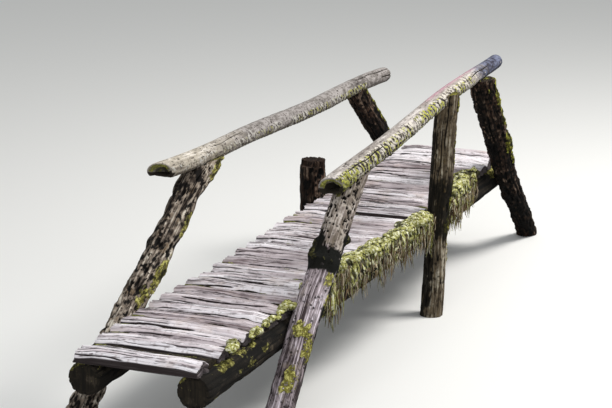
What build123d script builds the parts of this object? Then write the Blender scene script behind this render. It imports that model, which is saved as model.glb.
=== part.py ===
from build123d import *
import math
import os

# Rustic log footbridge over a stream, all sizes in millimetres.
# X runs along the walk, Y across it with +Y on the left, Z up from the water line.

# Deck of split logs laid crosswise
deck_top_height = 900
deck_log_thickness = 105
deck_edge_thickness = 62
deck_first_log_middle = -3300
deck_first_log_width = 190
deck_missing_strip = 140
deck_far_edge = 3205
deck_log_count = 30
deck_pitch_growth = 34
deck_log_gap = 12
deck_wide_gap = 26
deck_wide_gap_number = 19
deck_left_reach = 476
deck_right_reach = 478
deck_bulge_reach = 112
deck_bulge_middle = 650
deck_bulge_half_length = 1200
deck_reach_variation = 24
deck_thickness_variation = 7
deck_bow = 3
deck_end_skew = 3.0
deck_crown_facets = 6

# Every long log is peeled to this many flat sides
log_sides = 20

# Two round logs that carry the deck
stringer_near_radius = 131
stringer_far_radius = 126
stringer_near_end = -3360
stringer_far_end = 3170
stringer_top_hewing = 22
stringer_housing_depth = 14
stringer_wander = 4

# Hand rails
right_rail_near_radius = 83
right_rail_far_radius = 64
right_rail_near_end = -1500
right_rail_far_end = 2690
right_rail_near_spread = 612
right_rail_far_spread = 566
right_rail_near_rise = 746
right_rail_far_rise = 935
right_rail_bow = 20
right_rail_kink = -14
right_rail_ripple = 5
right_rail_belly = 2
left_rail_near_radius = 71
left_rail_far_radius = 70
left_rail_near_end = -1860
left_rail_far_end = 2860
left_rail_near_spread = 598
left_rail_far_spread = 553
left_rail_near_rise = 843
left_rail_far_rise = 700
left_rail_bow = -16
left_rail_kink = -8
left_rail_ripple = -10
left_rail_belly = 4
rail_end_hewing_length = 170
rail_end_hewing_depth = 34
rail_end_slant = 31.0
rail_stations = 16

# Posts, each a crooked round log that leans along the bridge
deck_clearance = 12
post_housing_depth = 12
post_housing_below = 30
post_housing_above = 12
post_fit = 0.3
post_top_overrun = 160
post_cutter_length = 1700
post_cutter_width = 640
post_foot_overrun = 150
housing_margin = 45

right_near_head = -859
right_near_knee = -1772
right_near_foot = -2618
right_near_head_radius = 102
right_near_foot_radius = 104
right_near_cheek = -45
right_near_crook = 14

right_mid_head = 1147
right_mid_knee = 1057
right_mid_foot = 900
right_mid_head_shift = 36
right_mid_head_radius = 94
right_mid_foot_radius = 94
right_mid_horn = 45
right_mid_crook = 9

right_far_head = 2092
right_far_knee = 2764
right_far_foot = 3639
right_far_head_radius = 116
right_far_foot_radius = 92
right_far_cheek = -40
right_far_crook = 16

left_near_head = -870
left_near_knee = -2190
left_near_foot = -3584
left_near_head_radius = 112
left_near_foot_radius = 92
left_near_cheek = -35
left_near_crook = 20

left_far_head = 2143
left_far_knee = 3016
left_far_foot = 3620
left_far_head_radius = 101
left_far_foot_radius = 95
left_far_cheek = -40
left_far_crook = 12

# Broken stump of the left middle post
stump_x = 1245
stump_rise = 255
stump_radius = 112
stump_foot_radius = 116
stump_step_drop = 46
stump_step_width = 92

seat_height = deck_top_height - deck_log_thickness
stringer_middle_height = seat_height - stringer_near_radius + stringer_top_hewing
stringer_underside = stringer_middle_height - stringer_near_radius
housing_bottom = stringer_underside - post_housing_below
housing_top = deck_top_height + post_housing_above

# Posts stand just outside the longest deck log, flat against the side of the stringer
left_housing_face = deck_left_reach + deck_reach_variation + deck_clearance
right_housing_face = deck_right_reach + deck_reach_variation + deck_clearance


def between(start, finish, share):
    return start + (finish - start) * share


def vary(number, kind):
    # A steady but uneven value from -1 to 1 for each log and each kind of unevenness
    return math.sin(12.9898 * number + 4.137 * kind)


def log_sections(centres, radii):
    # Many-sided sections square to the bent middle line of a tapering log
    sections = []
    last = len(centres) - 1
    for index, centre in enumerate(centres):
        heading = Vector(*centres[min(index + 1, last)]) - Vector(*centres[max(index - 1, 0)])
        with BuildSketch(Plane(origin=centre, x_dir=(0, 1, 0), z_dir=heading)) as section:
            RegularPolygon(radii[index], log_sides)
        sections.append(section.sketch)
    return sections


def rail_point(near, far, bow, kink, ripple, share):
    # Straight line between the two ends plus one bow, one S-shaped kink and a shorter ripple
    x, y, rise = [between(start, finish, share) for start, finish in zip(near, far)]
    rise += bow * math.sin(math.pi * share) + kink * math.sin(2 * math.pi * share)
    rise += ripple * math.sin(4 * math.pi * share)
    return (x, y, deck_top_height + rise)


def right_rail_point(x):
    share = (x - right_rail_near_end) / (right_rail_far_end - right_rail_near_end)
    return rail_point((right_rail_near_end, -right_rail_near_spread, right_rail_near_rise),
                      (right_rail_far_end, -right_rail_far_spread, right_rail_far_rise),
                      right_rail_bow, right_rail_kink, right_rail_ripple, share)


def left_rail_point(x):
    share = (x - left_rail_near_end) / (left_rail_far_end - left_rail_near_end)
    return rail_point((left_rail_near_end, left_rail_near_spread, left_rail_near_rise),
                      (left_rail_far_end, left_rail_far_spread, left_rail_far_rise),
                      left_rail_bow, left_rail_kink, left_rail_ripple, share)


def right_rail_sections(extra_radius):
    shares = [number / rail_stations for number in range(rail_stations + 1)]
    centres = [right_rail_point(between(right_rail_near_end, right_rail_far_end, share))
               for share in shares]
    radii = [between(right_rail_near_radius, right_rail_far_radius, share)
             + right_rail_belly * math.sin(math.pi * share) + extra_radius
             for share in shares]
    return log_sections(centres, radii)


def left_rail_sections(extra_radius):
    shares = [number / rail_stations for number in range(rail_stations + 1)]
    centres = [left_rail_point(between(left_rail_near_end, left_rail_far_end, share))
               for share in shares]
    radii = [between(left_rail_near_radius, left_rail_far_radius, share)
             + left_rail_belly * math.sin(math.pi * share) + extra_radius
             for share in shares]
    return log_sections(centres, radii)


# The rails, with each near end cut at a slant and hewn flat underneath
slant = math.radians(rail_end_slant)
with BuildPart() as rail_right:
    loft(right_rail_sections(0), ruled=True)
    end_x, end_y, end_z = right_rail_point(right_rail_near_end)
    with Locations((end_x, end_y, end_z - right_rail_near_radius + rail_end_hewing_depth)):
        Box(2 * rail_end_hewing_length, 4 * right_rail_near_radius, right_rail_near_radius,
            align=(Align.CENTER, Align.CENTER, Align.MAX), mode=Mode.SUBTRACT)
    split(bisect_by=Plane(origin=(end_x, end_y + right_rail_near_radius, end_z),
                          z_dir=(math.cos(slant), math.sin(slant), 0)), keep=Keep.TOP)
rail_right.part.label = "rail_right"
export_step(rail_right.part, "parts/rail_right.step")

with BuildPart() as rail_left:
    loft(left_rail_sections(0), ruled=True)
    end_x, end_y, end_z = left_rail_point(left_rail_near_end)
    with Locations((end_x, end_y, end_z - left_rail_near_radius + rail_end_hewing_depth)):
        Box(2 * rail_end_hewing_length, 4 * left_rail_near_radius, left_rail_near_radius,
            align=(Align.CENTER, Align.CENTER, Align.MAX), mode=Mode.SUBTRACT)
    split(bisect_by=Plane(origin=(end_x, end_y + left_rail_near_radius, end_z),
                          z_dir=(math.cos(slant), math.sin(slant), 0)), keep=Keep.TOP)
rail_left.part.label = "rail_left"
export_step(rail_left.part, "parts/rail_left.step")

# The room that each rail needs in a post head
with BuildPart() as right_saddle:
    loft(right_rail_sections(post_fit), ruled=True)
with BuildPart() as left_saddle:
    loft(left_rail_sections(post_fit), ruled=True)

# Head, knee and foot along X, shift of the head outwards, radii at head and foot,
# height at which the head is trimmed over the middle of the rail, and crook
right_posts = {
    "post_right_near": (right_near_head, right_near_knee, right_near_foot, 0,
                        right_near_head_radius, right_near_foot_radius,
                        right_near_cheek, right_near_crook),
    "post_right_middle": (right_mid_head, right_mid_knee, right_mid_foot, right_mid_head_shift,
                          right_mid_head_radius, right_mid_foot_radius,
                          right_mid_horn, right_mid_crook),
    "post_right_far": (right_far_head, right_far_knee, right_far_foot, 0,
                       right_far_head_radius, right_far_foot_radius,
                       right_far_cheek, right_far_crook),
}
left_posts = {
    "post_left_near": (left_near_head, left_near_knee, left_near_foot, 0,
                       left_near_head_radius, left_near_foot_radius,
                       left_near_cheek, left_near_crook),
    "post_left_far": (left_far_head, left_far_knee, left_far_foot, 0,
                      left_far_head_radius, left_far_foot_radius,
                      left_far_cheek, left_far_crook),
}


def post_line(post, side, height, rail_height):
    # Middle and radius of a post at one height: two straight leans that meet at deck level,
    # with a soft crook that dies out at foot, deck and head
    head, knee, foot, head_shift, head_radius, foot_radius, cheek, crook = post
    face = right_housing_face if side < 0 else left_housing_face
    knee_radius = between(foot_radius, head_radius, 0.5)
    spread = face + knee_radius - post_housing_depth
    if height < deck_top_height:
        share = height / deck_top_height
        x = between(foot, knee, share)
        radius = between(foot_radius, knee_radius, share)
    else:
        share = (height - deck_top_height) / (rail_height - deck_top_height)
        x = between(knee, head, share)
        radius = between(knee_radius, head_radius, share)
        spread += head_shift * share
    x += crook * math.sin(2 * math.pi * share)
    return (x, side * spread, height), radius


def post_crossing(post, side, height):
    # Middle of a post along X and half the length that it covers there
    middle, radius = post_line(post, side, height, 2 * deck_top_height)
    lean = (post[1] - post[2]) / deck_top_height
    return middle[0], radius * math.hypot(1, lean)


# Posts: saddle-cut under the rail, housed flat on the stringer, sawn level at the foot
for side, side_posts in ((-1, right_posts), (1, left_posts)):
    face = right_housing_face if side < 0 else left_housing_face
    rail = right_rail_point if side < 0 else left_rail_point
    saddle = right_saddle if side < 0 else left_saddle
    for name, post in side_posts.items():
        head_x, rail_y, rail_height = rail(post[0])
        top = rail_height + post_top_overrun
        heights = [-post_foot_overrun] + [deck_top_height * step / 4 for step in range(5)]
        heights += [between(deck_top_height, rail_height, step / 4) for step in range(1, 4)] + [top]
        stations = [post_line(post, side, height, rail_height) for height in heights]
        centres = [centre for centre, radius in stations]
        radii = [radius for centre, radius in stations]
        with BuildPart() as log_post:
            loft(log_sections(centres, radii), ruled=True)
            with Locations((head_x, rail_y, rail_height + post[6])):
                Box(post_cutter_length, post_cutter_width, post_cutter_width,
                    align=(Align.CENTER, Align.CENTER, Align.MIN), mode=Mode.SUBTRACT)
            add(saddle.part, mode=Mode.SUBTRACT)
            with Locations((post[1], side * face, housing_bottom)):
                Box(post_cutter_length, post_cutter_width, housing_top - housing_bottom,
                    align=(Align.CENTER, Align.MAX if side > 0 else Align.MIN, Align.MIN),
                    mode=Mode.SUBTRACT)
            split(bisect_by=Plane.XY, keep=Keep.TOP)
        log_post.part.label = name
        export_step(log_post.part, f"parts/{name}.step")

# The broken middle post on the left, with the step that is left of its old joint
stump_top = deck_top_height + stump_rise
stump_spread = left_housing_face + stump_radius - post_housing_depth
with BuildPart() as stump:
    loft(log_sections([(stump_x, stump_spread, 0), (stump_x, stump_spread, seat_height),
                       (stump_x, stump_spread, stump_top)],
                      [stump_foot_radius, stump_radius, stump_radius]), ruled=True)
    with Locations((stump_x - stump_radius, stump_spread, stump_top - stump_step_drop)):
        Box(2 * stump_step_width, 3 * stump_radius, 2 * stump_step_drop,
            align=(Align.CENTER, Align.CENTER, Align.MIN), mode=Mode.SUBTRACT)
    with Locations((stump_x, left_housing_face, housing_bottom)):
        Box(4 * stump_radius, 2 * stump_radius, housing_top - housing_bottom,
            align=(Align.CENTER, Align.MAX, Align.MIN), mode=Mode.SUBTRACT)
stump.part.label = "post_left_middle"
export_step(stump.part, "parts/post_left_middle.step")

# Stringers: tapering logs, hewn flat on top for the deck and let in flat where a post stands
for name, side, face in (("stringer_right", -1, right_housing_face),
                         ("stringer_left", 1, left_housing_face)):
    spread = face - stringer_far_radius + stringer_housing_depth
    shares = [number / 8 for number in range(9)]
    centres = [(between(stringer_near_end, stringer_far_end, share),
                side * spread + stringer_wander * math.sin(7 * share + side),
                stringer_middle_height + stringer_wander * math.sin(5 * share - side))
               for share in shares]
    radii = [between(stringer_near_radius, stringer_far_radius, share) for share in shares]
    if side < 0:
        crossings = [post_crossing(post, side, stringer_middle_height)
                     for post in right_posts.values()]
    else:
        crossings = [post_crossing(post, side, stringer_middle_height)
                     for post in left_posts.values()]
        crossings.append((stump_x, stump_foot_radius))
    with BuildPart() as stringer:
        loft(log_sections(centres, radii), ruled=True)
        with Locations((0, side * spread, seat_height)):
            Box(3 * stringer_far_end, 4 * stringer_near_radius, stringer_near_radius,
                align=(Align.CENTER, Align.CENTER, Align.MIN), mode=Mode.SUBTRACT)
        for middle, half_length in crossings:
            with Locations((middle, side * face, stringer_middle_height)):
                Box(2 * (half_length + housing_margin), stringer_near_radius,
                    3 * stringer_near_radius,
                    align=(Align.CENTER, Align.MIN if side > 0 else Align.MAX, Align.CENTER),
                    mode=Mode.SUBTRACT)
    stringer.part.label = name
    export_step(stringer.part, f"parts/{name}.step")


def deck_places():
    # Middle and width of every deck log: the first stands alone before the missing strip
    places = [(deck_first_log_middle, deck_first_log_width)]
    start = deck_first_log_middle + deck_first_log_width / 2 + deck_missing_strip
    rest = deck_log_count - 1
    mean_pitch = (deck_far_edge - start) / rest
    for number in range(1, deck_log_count):
        share = (number - 1) / (rest - 1)
        pitch = mean_pitch + deck_pitch_growth * (share - 0.5)
        gap = deck_wide_gap if number == deck_wide_gap_number else deck_log_gap
        places.append((start + pitch / 2, pitch - gap))
        start += pitch
    return places


def right_bulge(x, half_width):
    # The middle logs run further out on the right, except where the middle post stands
    post_x, post_half = post_crossing(right_posts["post_right_middle"], -1, deck_top_height)
    if abs(x - post_x) < half_width + post_half + deck_clearance:
        return 0
    distance = (x - deck_bulge_middle) / deck_bulge_half_length
    return deck_bulge_reach * math.exp(-distance ** 4)


def crown_points(half, edge, top):
    # Crown of a split log from one long edge to the other, as short straight runs
    steps = [2 * number / deck_crown_facets - 1 for number in range(deck_crown_facets + 1)]
    return [(half * step, top - (top - edge) * step ** 2) for step in steps]


# Deck: split logs, flat underneath on the stringers and crowned on top
for number, (middle, width) in enumerate(deck_places()):
    right = -deck_right_reach - deck_reach_variation * vary(number, 1)
    right -= right_bulge(middle, width / 2)
    left = deck_left_reach + deck_reach_variation * vary(number, 3)
    thickness = deck_log_thickness + deck_thickness_variation * vary(number, 5)
    edge = deck_edge_thickness * thickness / deck_log_thickness
    skew = math.radians(deck_end_skew * vary(number, 7))
    end_share = 0.95 + 0.02 * vary(number, 9)
    sections = []
    for y, bow, share, turn in ((right, 0, 0.97, -skew),
                                (between(right, left, 0.5), deck_bow * vary(number, 8), 1, 0),
                                (left, 0, end_share, skew)):
        half = width * share / 2
        with BuildSketch(Plane(origin=(middle + bow, y, seat_height),
                               x_dir=(math.cos(turn), math.sin(turn), 0),
                               z_dir=(math.sin(turn), -math.cos(turn), 0))) as section:
            with BuildLine():
                Polyline((-half, 0), *crown_points(half, edge, thickness * share), (half, 0),
                         close=True)
            make_face()
        sections.append(section.sketch)
    with BuildPart() as deck_log:
        loft(sections, ruled=True)
    deck_log.part.label = f"deck_log_{number + 1:02d}"
    export_step(deck_log.part, f"parts/deck_log_{number + 1:02d}.step")
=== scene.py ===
import math

import bpy
import numpy as np
from mathutils import Matrix, Vector


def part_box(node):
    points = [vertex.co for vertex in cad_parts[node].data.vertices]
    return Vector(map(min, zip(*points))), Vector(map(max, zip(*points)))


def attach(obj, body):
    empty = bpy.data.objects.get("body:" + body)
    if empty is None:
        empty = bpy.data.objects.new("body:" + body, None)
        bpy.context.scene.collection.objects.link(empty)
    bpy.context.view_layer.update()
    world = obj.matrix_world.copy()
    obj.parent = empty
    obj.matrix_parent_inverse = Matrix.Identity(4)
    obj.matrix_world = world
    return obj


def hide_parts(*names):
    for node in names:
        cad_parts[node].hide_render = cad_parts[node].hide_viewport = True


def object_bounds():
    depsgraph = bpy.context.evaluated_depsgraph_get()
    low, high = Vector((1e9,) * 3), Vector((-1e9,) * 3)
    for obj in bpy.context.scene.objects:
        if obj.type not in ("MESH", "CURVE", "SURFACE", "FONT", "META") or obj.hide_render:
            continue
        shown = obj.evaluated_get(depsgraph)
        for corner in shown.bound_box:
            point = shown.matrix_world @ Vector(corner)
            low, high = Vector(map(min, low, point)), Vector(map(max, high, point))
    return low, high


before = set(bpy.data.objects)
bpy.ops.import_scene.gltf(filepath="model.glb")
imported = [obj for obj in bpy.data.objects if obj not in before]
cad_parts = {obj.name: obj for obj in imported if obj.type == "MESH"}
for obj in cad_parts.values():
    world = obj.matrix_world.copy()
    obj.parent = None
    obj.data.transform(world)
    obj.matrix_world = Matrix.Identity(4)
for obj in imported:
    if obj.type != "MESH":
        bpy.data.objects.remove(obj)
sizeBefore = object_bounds()
wholeLow = np.array(sizeBefore[0])
wholeHigh = np.array(sizeBefore[1])
margin = 0.0005  # kept between a piece and what bounds it
print("frame loaded")

noiseCells = 4096
chance = np.random.default_rng(41)
shuffled = chance.permutation(noiseCells)
cellValues = chance.random(noiseCells) * 2 - 1


def valueNoise(points, seed):
    # Values from -1 to 1 at whole-number points, blended by 3f^2 - 2f^3 along each axis
    whole = np.floor(points).astype(np.int64)
    part = points - whole
    part = part * part * (3 - 2 * part)
    total = 0
    for corner in np.ndindex(2, 2, 2):
        cell, share = 977 * seed, 1
        for axis, step in enumerate(corner):
            cell = shuffled[(cell + whole[..., axis] + step) & (noiseCells - 1)]
            share = share * (part[..., axis] if step else 1 - part[..., axis])
        total = total + cellValues[cell] * share
    return total


def layered(points, seed, layers=3):
    # Sum of value noise at doubling frequency and halving height, scaled back to about -1 to 1
    total, reach = 0, 0.0
    for layer in range(layers):
        total = total + valueNoise(points * 2 ** layer, seed + layer) * 0.5 ** layer
        reach += 0.5 ** layer
    return 1.4 * total / reach


def noiseOn(points, seed):
    # The layered noise of these points, asked for by scale, step of the seed and layers
    return lambda scale, step=0, layers=2: layered(points * scale, seed + step, layers)


def joined(*parts):
    # Arrays and numbers side by side along a new last axis
    return np.stack(np.broadcast_arrays(*parts), -1)


def clampStep(values, low, high):
    # 0 below low, 1 above high, 3f^2 - 2f^3 between
    share = np.clip((values - low) / (high - low), 0, 1)
    return share * share * (3 - 2 * share)


def blend(ends, share):
    return ends[0] + (ends[1] - ends[0]) * share


def cracks(points, seed, width):
    # 1 where noise passes through zero, falling to 0 at the given distance from zero
    return np.clip(1 - np.abs(layered(points, seed, 2)) / width, 0, 1)


def makeMesh(name, points, quads, triangles, fields, material, node=None, slot=None):
    # A mesh from whole arrays, turned outwards, with its own attributes. Where it stands for a CAD node, edges
    # above 60 degrees stay sharp; on moss and soil those above 70
    first, second, third = np.moveaxis(points[np.concatenate([triangles, quads[:, :3], quads[:, [0, 2, 3]]])], 1, 0)
    if np.einsum("ij,ij->", first, np.cross(second, third)) < 0:
        quads, triangles = quads[:, ::-1], triangles[:, ::-1]
    loops = np.concatenate([quads.ravel(), triangles.ravel()])
    starts = np.concatenate([np.arange(len(quads)) * 4, len(quads) * 4 + np.arange(len(triangles)) * 3])
    mesh = bpy.data.meshes.new(name)
    for part, key, values in ((mesh.vertices, "co", points.astype(np.float32)),
                              (mesh.loops, "vertex_index", loops.astype(np.int32)),
                              (mesh.polygons, "loop_start", starts.astype(np.int32))):
        part.add(len(values))
        part.foreach_set(key, values.ravel())
    mesh.update(calc_edges=True)
    mesh.polygons.foreach_set("use_smooth", np.ones(len(starts), bool))
    mesh.set_sharp_from_angle(angle=math.radians(60 if node else 70))
    for key, values in fields.items():
        kind, what = "FLOAT_VECTOR", "vector"
        if key == "marks":
            kind, what, values = "FLOAT_COLOR", "color", np.clip(values, 0, 1)
        mesh.attributes.new(key, kind, "POINT").data.foreach_set(what, values.astype(np.float32).ravel())
    mesh.materials.append(material)
    piece = bpy.data.objects.new(name, mesh)
    bpy.context.scene.collection.objects.link(piece)
    if node:
        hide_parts(node)
    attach(piece, "root")


def ringFaces(rows, around):
    # Quads between rings in turn, and triangles to the two closing points that follow the rings
    here = np.arange(around)
    ahead = (here + 1) % around
    base = np.arange(rows - 1)[:, None] * around
    quads = joined(base + here, base + ahead, base + around + ahead, base + around + here)
    pole, last = rows * around, (rows - 1) * around
    ends = joined(pole, ahead, here), joined(pole + 1, last + here, last + ahead)
    return quads.reshape(-1, 4), np.concatenate(ends)


def ringMesh(name, rings, fields, material, node=None, slot=None):
    # Runs of rings joined in turn, each end closed by a point at the middle of its last ring
    whole = {}
    for key, runs in dict(fields, points=rings).items():
        values = np.concatenate(runs)
        whole[key] = np.concatenate([values.reshape(-1, values.shape[-1]), [values[0].mean(0)], [values[-1].mean(0)]])
        faces = ringFaces(*values.shape[:2])
    makeMesh(name, whole.pop("points"), *faces, whole, material, node, slot)


# Shader helpers

def feed(entry, value):
    # Links a field to a node's input, or sets the input's own value
    if isinstance(value, Field):
        value.tree.links.new(value.socket, entry)
    else:
        entry.default_value = value


class Field:
    # A node output that adds, multiplies and compares with numbers and other outputs
    def __init__(self, tree, socket):
        self.tree = tree
        self.socket = socket

    def math(self, kind, *values):
        node = self.tree.nodes.new("ShaderNodeMath")
        node.operation = kind
        for entry, value in zip(node.inputs, values or (self,)):
            feed(entry, value)
        return Field(self.tree, node.outputs[0])

    def __add__(self, other):
        return self.math("ADD", self, other)

    def __sub__(self, other):
        return self.math("SUBTRACT", self, other)

    def __rsub__(self, other):
        return self.math("SUBTRACT", other, self)

    def __mul__(self, other):
        return self.math("MULTIPLY", self, other)

    __radd__, __rmul__ = __add__, __mul__

    def between(self, low, high):
        # 0 below low, 1 above high, smooth between
        node = self.tree.nodes.new("ShaderNodeMapRange")
        node.interpolation_type = "SMOOTHSTEP"
        for entry, value in zip(node.inputs, (self, low, high)):
            feed(entry, value)
        return Field(self.tree, node.outputs["Result"])


class Shader:
    # One material's node tree, with a single Principled surface
    def __init__(self, name):
        self.material = bpy.data.materials.new(name)
        self.material.use_nodes = True
        self.tree = self.material.node_tree
        self.surface = self.tree.nodes["Principled BSDF"]

    def add(self, kind, inputs, output=0, **settings):
        # Any other node, its inputs by name or place
        node = self.tree.nodes.new(kind)
        for key, value in settings.items():
            setattr(node, key, value)
        for key, value in inputs.items():
            feed(node.inputs[key], value)
        return Field(self.tree, node.outputs[output])

    def attribute(self, name, output):
        return self.add("ShaderNodeAttribute", {}, output, attribute_name=name)

    def split(self, kind, whole):
        node = self.add(kind, {0: whole}).socket.node
        return [Field(self.tree, output) for output in node.outputs[:3]]

    def noise(self, vector, scale, detail=3.0, rough=0.6):
        inputs = {"Vector": vector, "Scale": scale, "Detail": detail, "Roughness": rough}
        return self.add("ShaderNodeTexNoise", inputs)

    def stretched(self, vector, scale, detail, rough):
        scaled = self.add("ShaderNodeVectorMath", {0: vector, 1: scale}, operation="MULTIPLY")
        return self.noise(scaled, 1.0, detail, rough)

    def mix(self, share, first, second):
        return self.add("ShaderNodeMix", {0: share, 6: first, 7: second}, 2, data_type="RGBA")

    def set(self, values):
        for key, value in values.items():
            feed(self.surface.inputs[key], value)


def tint(red, green, blue):
    # Screen colour from 0 to 255 to linear light: ((c + 0.055) / 1.055)^2.4
    shares = np.array([red, green, blue]) / 255
    linear = np.where(shares <= 0.04045, shares / 12.92, ((shares + 0.055) / 1.055) ** 2.4)
    return (*[float(value) for value in linear], 1.0)


def woodShader(name, look):
    # Weathered wood: fibres along the grain, painted shade in cavities, damp together with painted shade, and moss from
    # the piece's own marks
    shader = Shader(name)

    def cover(share, under, key):
        return shader.mix(share, under, tint(*look[key]))

    grain = shader.attribute("grain", 1)
    alpha = shader.attribute("marks", 3)
    # Red mark: painted shade in cracks, pits, furrows and gaps; blue mark: damp together with painted shade on shaded
    # sides
    cavityShade, moss, dampAndShade = shader.split("ShaderNodeSeparateColor", shader.attribute("marks", 0))
    fibres = shader.stretched(grain, look["fibreStretch"], 5.0, 0.68)
    strands = shader.stretched(grain, look["strandStretch"], 3.0, 0.55)
    blotches = shader.noise(grain, look["blotchScale"])
    cells = shader.add("ShaderNodeTexVoronoi", {"Vector": grain, "Scale": look["speckScale"]})
    clusters = shader.noise(grain, 14.0, 3.0, 0.65)
    spots = (1 - cells.between(0.2, 0.38)) * clusters.between(0.4, 0.56)
    grooves = 1 - (strands - 0.5).math("ABSOLUTE").between(0.0, look["grooveWidth"])
    grooves = grooves * clusters.between(0.34, 0.5)
    tone = (0.5 + (alpha - 0.5) * 1.5 + (fibres - 0.5) * look["fibreContrast"]
            + (strands - 0.5) * look["strandContrast"] + (blotches - 0.5) * 0.7)
    colour = cover(tone.between(0.0, 0.5), tint(*look["dark"]), "middle")
    colour = cover(tone.between(0.5, 0.95), colour, "pale")
    colour = cover(blotches.between(0.52, 0.72) * look["stainShare"], colour, "stain")
    if "farStain" in look:
        # Another tone further along the log, with fewer grooves
        run = shader.split("ShaderNodeSeparateXYZ", grain)[2]
        bleached = (run + (blotches - 0.5) * 0.8).between(*look["farFrom"])
        grooves = grooves * (1 - bleached * 0.9)
        farColour = cover((clusters + tone * 0.3).between(0.52, 0.76), tint(*look["farStain"]), "farPale")
        colour = shader.mix(bleached * look["farShare"], colour, farColour)
    colour = cover(grooves * look["grooveShare"], colour, "groove")
    colour = cover(spots * look["speckShare"], colour, "speck")
    if "crescent" in look:
        # Curled bark edges: sin of a phase that runs along the log, its crests pale or lime, its troughs dark as
        # painted shade beneath the curls
        phase, band, flush = shader.split("ShaderNodeSeparateXYZ", shader.attribute("flow", 1))
        colour = cover(flush * blotches.between(0.3, 0.6), colour, "flush")
        wobble = shader.noise(grain, 26.0, 2.0)
        patches = shader.noise(grain, 9.0)
        wave = (phase + (wobble - 0.5) * 13.0).math("SINE")
        held = (band + (patches - 0.5) * 1.6 + (wobble - 0.5) * 1.8).between(0.3, 0.54)
        pale = (patches * 0.6 + wobble * 0.4).between(0.47, 0.54)
        crest = cover(pale, tint(*look["crescent"]), "crescentPale")
        colour = shader.mix(held * wave.between(-0.1, 0.5), colour, crest)
        # Painted shade in the troughs beneath the curls
        colour = cover(held * (0 - wave).between(0.1, 0.7) * (0.95 - pale * 0.35), colour, "crescentShade")
    # Damp colour, laid also as painted shade on shaded sides, undersides and gap faces
    colour = cover(dampAndShade.between(0.1, 0.9) * look["dampAndShadeShare"], colour, "dampAndShade")
    # Painted shade in cracks, pits, gaps and hollows, where the red mark is high
    hollowShade = (cavityShade + (fibres - 0.5) * 0.5).between(0.12, 0.6)
    colour = cover(hollowShade, colour, "hollowShade")
    fuzz = shader.noise(grain, 110.0, 3.0, 0.7)
    clump = shader.noise(grain, 36.0, 3.0, 0.65)
    mossTone = fuzz * 0.3 + clump * 0.7
    mossColour = cover(mossTone.between(0.41, 0.48), tint(*look["mossDark"]), "moss")
    mossColour = cover(mossTone.between(0.51, 0.6), mossColour, "mossPale")
    # Moss darkened by damp and by painted shade
    mossColour = cover(dampAndShade.between(0.55, 0.95) * 0.85, mossColour, "dampAndShade")
    # Painted shade in the hollows of the moss as well
    mossColour = cover(hollowShade * 0.85, mossColour, "hollowShade")
    mossShare = (moss + (clump - 0.5) * 1.5 + (fuzz - 0.5) * 0.9).between(0.4, 0.58)
    height = (fibres + strands - spots - grooves * 0.8) * 0.5 * (1 - mossShare) + fuzz * mossShare * 1.6
    bump = shader.add("ShaderNodeBump", {"Height": height, "Strength": look["bump"], "Distance": 0.004})
    shader.set({"Base Color": shader.mix(mossShare, colour, mossColour), "Roughness": look["rough"],
                "Normal": bump, "Specular IOR Level": 0.25})
    return shader.material


# Long logs: a bent middle line, radii along it and marks laid over its surface

def pathOf(centres, radii=None):
    # Tangent, side and lift of a line: side is +Y made square to the tangent, lift = tangent x side
    tangent = np.gradient(centres, axis=0)
    tangent /= np.linalg.norm(tangent, axis=1, keepdims=True)
    side = np.array([0.0, 1.0, 0.0]) - tangent * tangent[:, 1:2]
    side /= np.linalg.norm(side, axis=1, keepdims=True)
    run = np.concatenate([[0], np.cumsum(np.linalg.norm(np.diff(centres, axis=0), axis=1))])
    return {"centres": centres, "tangent": tangent, "side": side, "lift": np.cross(tangent, side),
            "run": run, "radii": radii}


def alongPath(path, share, what):
    # The named row of the path at shares from 0 to 1, by straight runs between its stations
    table = path[what]
    places = np.linspace(0, 1, len(table))
    if table.ndim == 1:
        return np.interp(share, places, table)
    return joined(*[np.interp(share, places, column) for column in table.T])


def roundPoints(path, angle, share, radius):
    # Middle line plus radius times (side cos a + lift sin a)
    middle, side, lift = [alongPath(path, share, what) for what in ("centres", "side", "lift")]
    spread = side * np.cos(angle)[..., None] + lift * np.sin(angle)[..., None]
    return middle + spread * radius[..., None], spread


def turns(around):
    return np.linspace(0, 2 * np.pi, around, endpoint=False)[None, :]


def grainOf(base, angle, run, seed):
    # Place in the wood: across the log in two directions, shifted by the seed, and along it
    return joined(base * np.cos(angle) + seed, base * np.sin(angle), run)


def patch(values, middle, half):
    # 1 at the middle, falling to 0 at the half width and beyond
    return clampStep(1 - np.abs(values - middle) / half, 0, 1)


def turnGap(angle, middle):
    # Distance between two angles, the short way round
    return np.abs((angle - middle + np.pi) % (2 * np.pi) - np.pi)


def turnPatch(angle, middle, half):
    # The patch round the log, its middle and half width in degrees
    return patch(turnGap(angle, math.radians(middle)), 0, math.radians(half))


def strongest(zones, angle, height, least=0.0):
    # The strongest zone at each point: angle, half angle, height, half height and strength of each
    total = least + 0 * height
    for middleAngle, halfAngle, middle, half, strength in zones:
        total = np.maximum(total, strength * turnPatch(angle, middleAngle, halfAngle) * patch(height, middle, half))
    return total


def pits(angle, run, radius, holes):
    # Depth of the deepest round pit at a point: depth (1 - d^4) inside each pit's reach d < 1
    depth = 0 * run
    for middleAngle, middleRun, across, along, deep in holes:
        gapAcross = turnGap(angle, middleAngle) * radius / across
        gapAlong = (run - middleRun) / along
        reach = np.minimum(gapAcross ** 2 + gapAlong ** 2, 1)
        depth = np.maximum(depth, deep * (1 - reach ** 2))
    return depth


def foldRings(ring, folds):
    # Copies of an end ring, each drawn in towards its middle by a share of its own
    middle = ring.mean(0)
    return middle + (ring - middle) * np.reshape(folds, (len(folds), 1, -1))


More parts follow.
